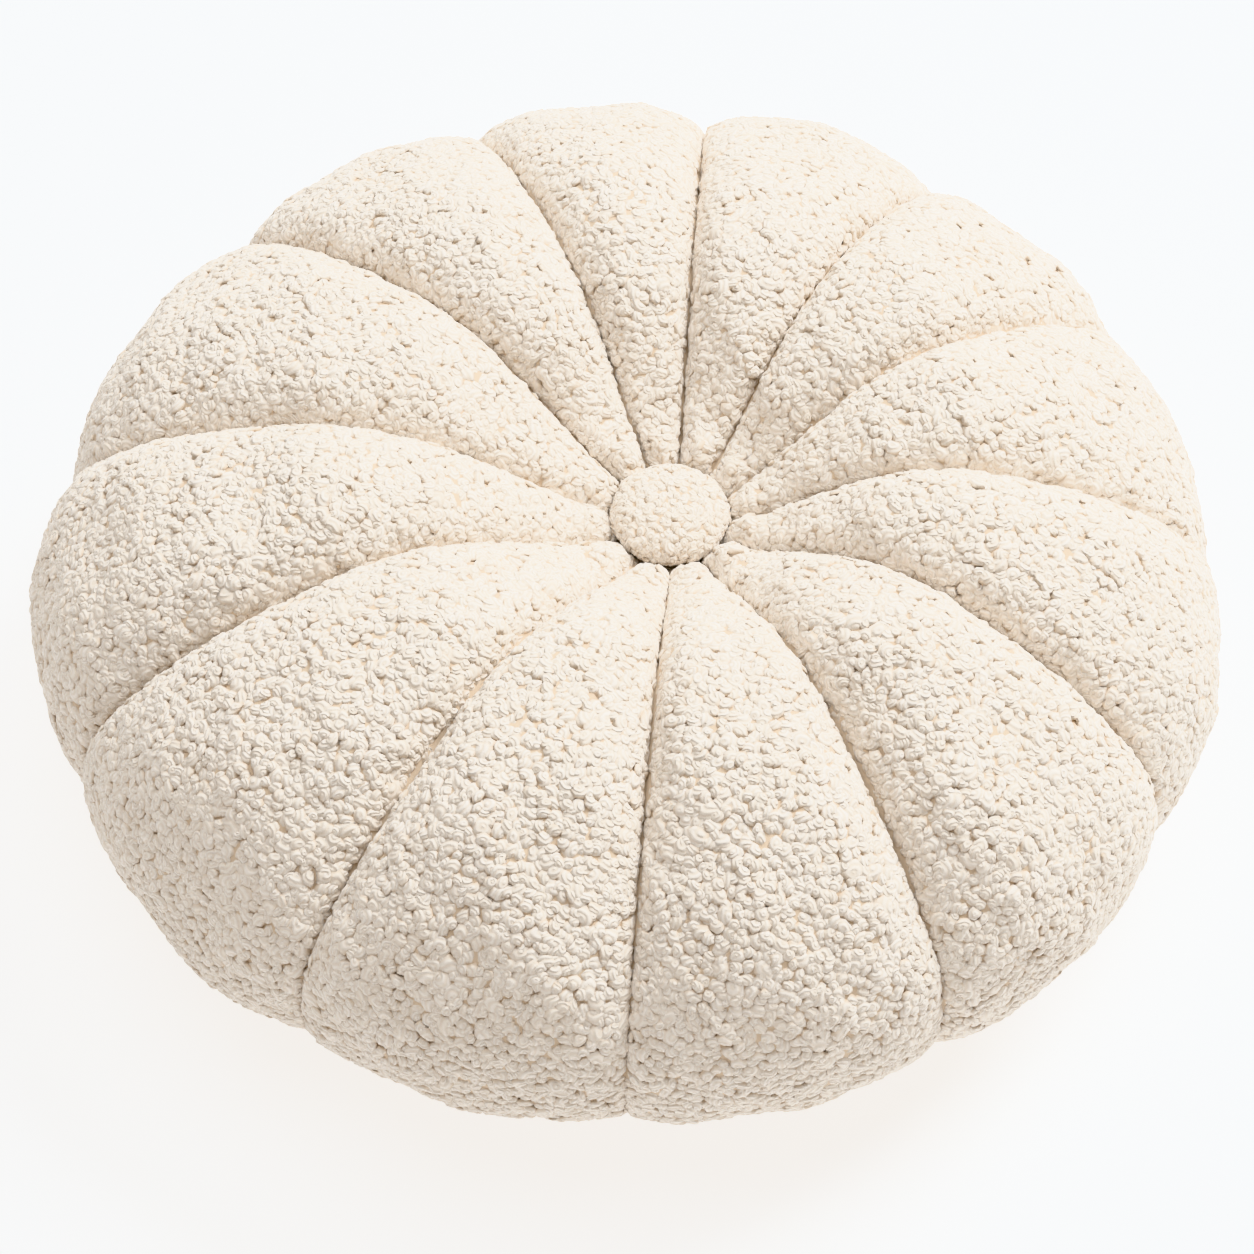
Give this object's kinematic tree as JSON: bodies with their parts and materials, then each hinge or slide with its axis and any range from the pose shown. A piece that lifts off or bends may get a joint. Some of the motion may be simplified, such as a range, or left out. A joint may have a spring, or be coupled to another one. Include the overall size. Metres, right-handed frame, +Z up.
{
  "type": "round tufted cushion",
  "caption": "Round stuffed floor cushion in curly pile cloth, with sewn radial panels drawn in by a covered centre button.",
  "frame": {"origin": "on the surface that the cushion rests on, under the middle of its outline", "axes": "+Z up through the cushion's thickness, +X towards the side that the centre tuft leans to, the viewer at -Y"},
  "size_m": [0.4454, 0.4453, 0.1546],
  "materials": {
    "pile_cover": "matt cream curly pile cloth",
    "pile_button": "matt cream curly pile cloth, drawn over a button"
  },
  "bodies": {
    "root": {"cushion_body": "pile_cover", "centre_button": "pile_button"}
  },
  "joints": []
}
